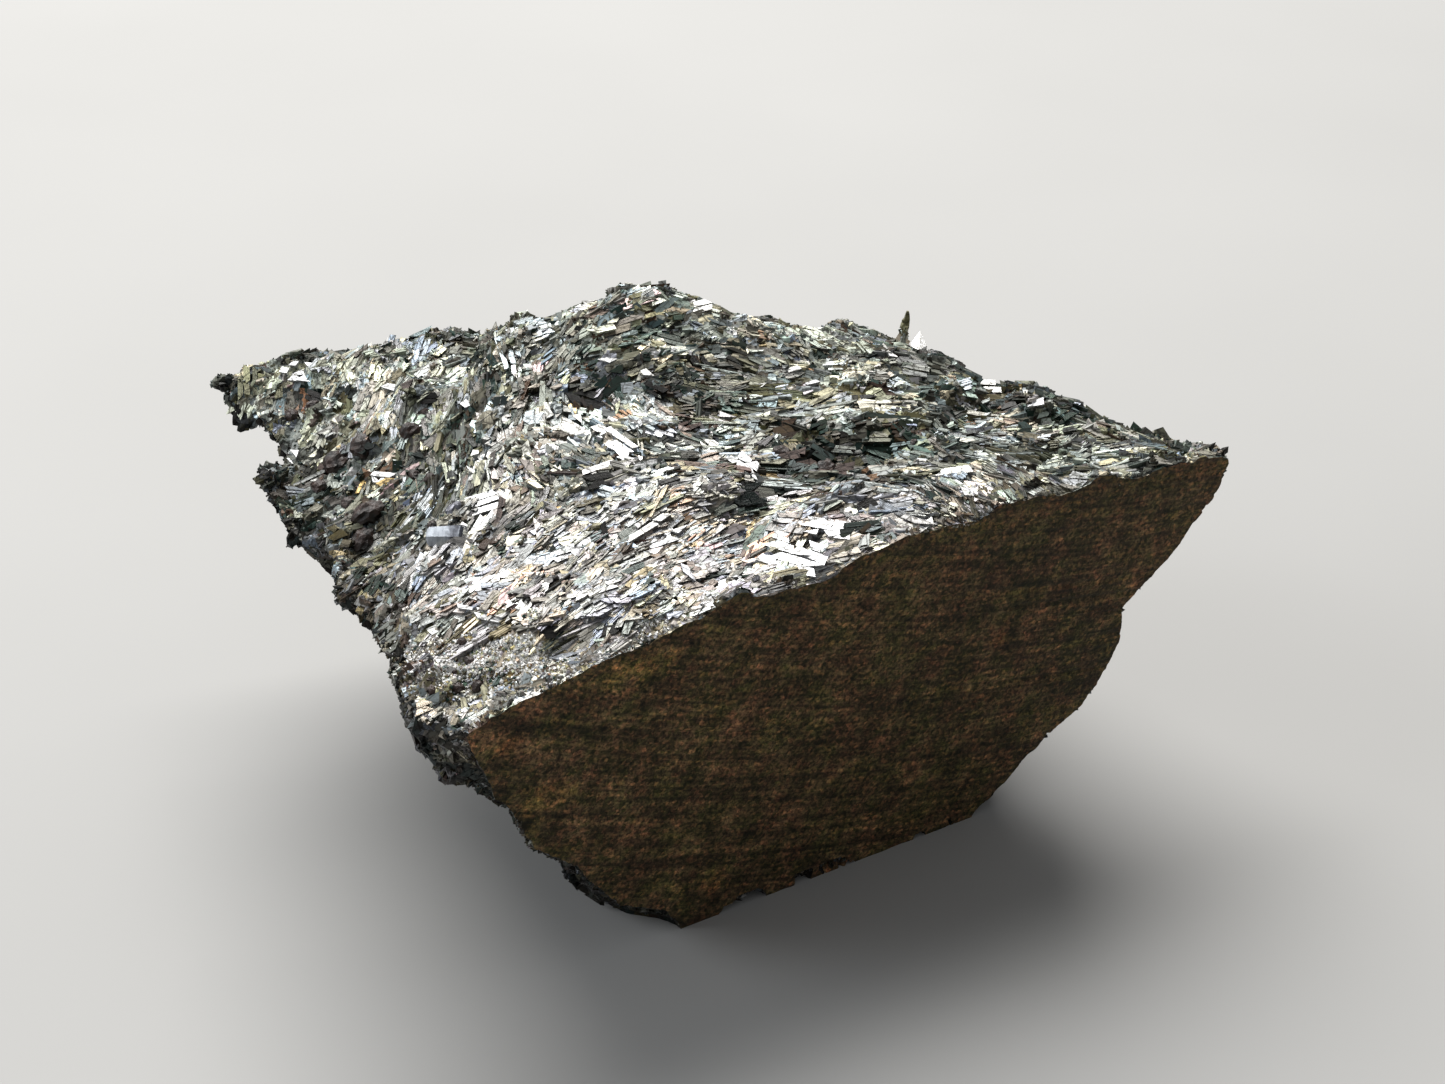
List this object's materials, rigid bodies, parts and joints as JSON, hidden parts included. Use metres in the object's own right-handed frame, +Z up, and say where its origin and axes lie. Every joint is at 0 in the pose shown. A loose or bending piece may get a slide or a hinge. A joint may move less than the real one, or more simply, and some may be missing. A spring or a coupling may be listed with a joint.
{
  "type": "raw nuummite",
  "caption": "Rough lump of bladed amphibole rock, wide at the top and narrow at the foot, with one flat saw-cut face and glittering broken sides.",
  "frame": {"origin": "centre of the bounding box seen from above, on the plane of the foot", "axes": "+Z up from the foot; +X along the longest side of the stone; the saw-cut face looks towards -Y and +X and leans out over the foot"},
  "size_m": [0.0396, 0.032, 0.0186],
  "materials": {
    "nuummite": "charcoal bladed rock: silvery glossy cleavage faces on the broken sides, matte dark brown on the saw cut"
  },
  "bodies": {
    "root": {"nuummite": "nuummite"}
  },
  "joints": []
}
